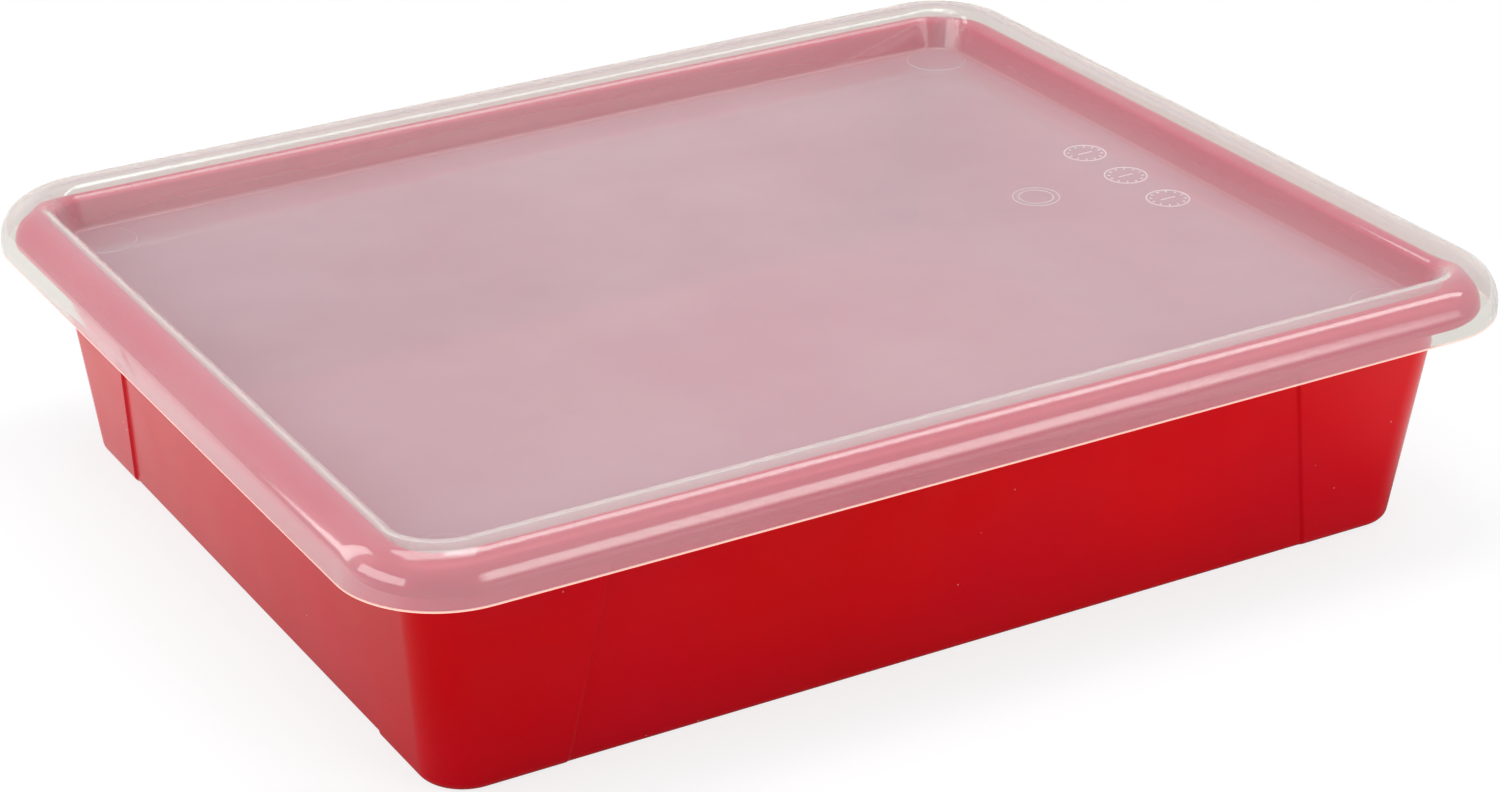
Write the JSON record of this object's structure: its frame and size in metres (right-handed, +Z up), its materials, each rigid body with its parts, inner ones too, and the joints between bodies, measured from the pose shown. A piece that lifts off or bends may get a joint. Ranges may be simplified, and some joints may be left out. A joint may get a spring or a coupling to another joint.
{
  "type": "art supply box",
  "caption": "Shallow rectangular art supply box: a drafted red tray with a rolled rim, and a clear lift-off lid with a rounded bead and a recessed flat panel.",
  "frame": {"origin": "middle of the face that the tray rests on", "axes": "+X along the long side, towards the end with the moulded dials; +Y along the short side; +Z up"},
  "size_m": [0.3364, 0.275, 0.0758],
  "materials": {
    "tray_plastic": "opaque red polypropylene, satin gloss with light scuffs",
    "lid_plastic": "milky translucent polypropylene, polished on top"
  },
  "bodies": {
    "tray": {"tray": "tray_plastic"},
    "lid": {"lid": "lid_plastic"}
  },
  "joints": [
    {"name": "lid_lift", "type": "slide", "parent": "tray", "child": "lid", "axis": [0, 0, 1], "range_m": [0, 0.12]}
  ]
}
